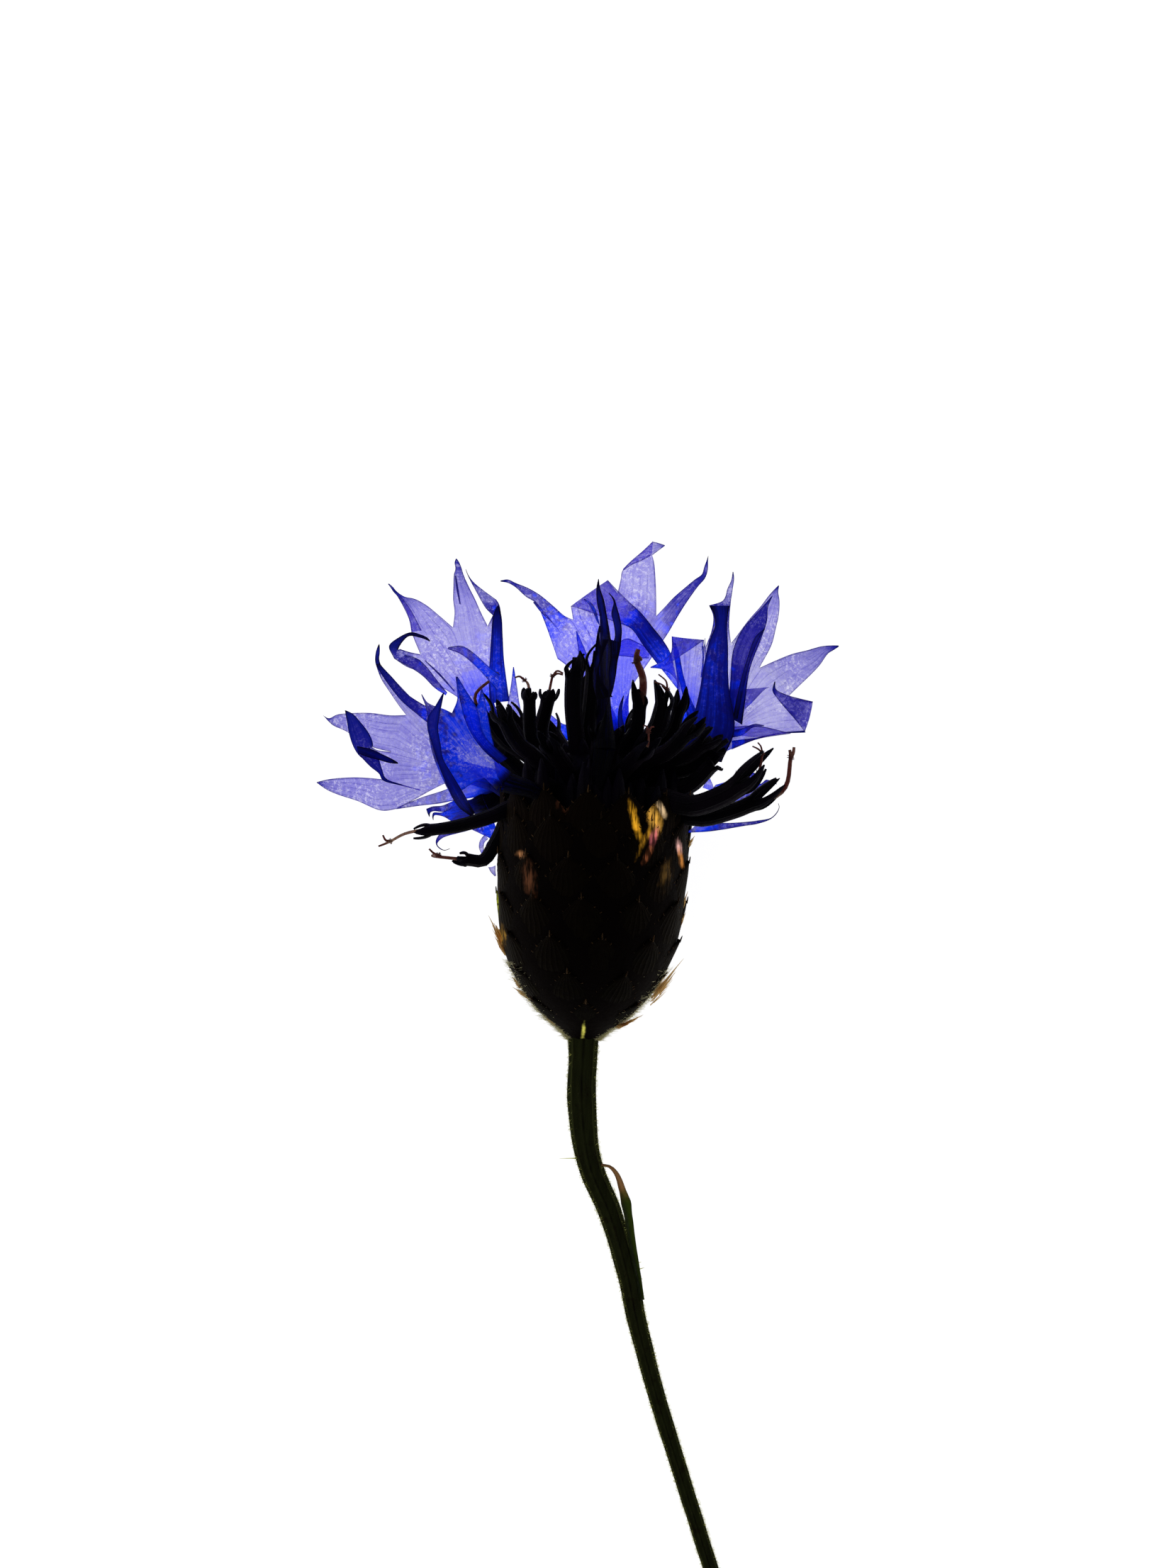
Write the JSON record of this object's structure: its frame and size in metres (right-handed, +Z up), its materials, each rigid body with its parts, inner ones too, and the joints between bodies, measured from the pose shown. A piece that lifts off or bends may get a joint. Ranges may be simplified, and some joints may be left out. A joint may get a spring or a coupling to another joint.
{
  "type": "cornflower",
  "caption": "Cut cornflower lying on a surface: blue-violet ray florets round dark disc florets, a scaly involucre and a bent stem.",
  "frame": {"origin": "the middle of the flower's footprint, on the surface it lies on", "axes": "+Y along the head's axis from the stem to the petals, +X to the right of it, +Z up from the surface"},
  "size_m": [0.0358, 0.0772, 0.0154],
  "materials": {
    "ray_petal": "satin",
    "disc_floret": "matte",
    "bract": "matte",
    "stem": "matte"
  },
  "bodies": {
    "root": {"stem": "stem", "stem_leaf": "stem", "involucre": "bract", "disc_florets": "disc_floret", "ray_floret_left": "ray_petal", "ray_floret_upper_left": "ray_petal", "ray_floret_front_left": "ray_petal", "ray_floret_back": "ray_petal", "ray_floret_upper_right": "ray_petal", "ray_floret_right": "ray_petal", "ray_floret_front": "ray_petal", "ray_floret_low_right": "ray_petal", "ray_floret_low_left": "ray_petal"}
  },
  "joints": []
}
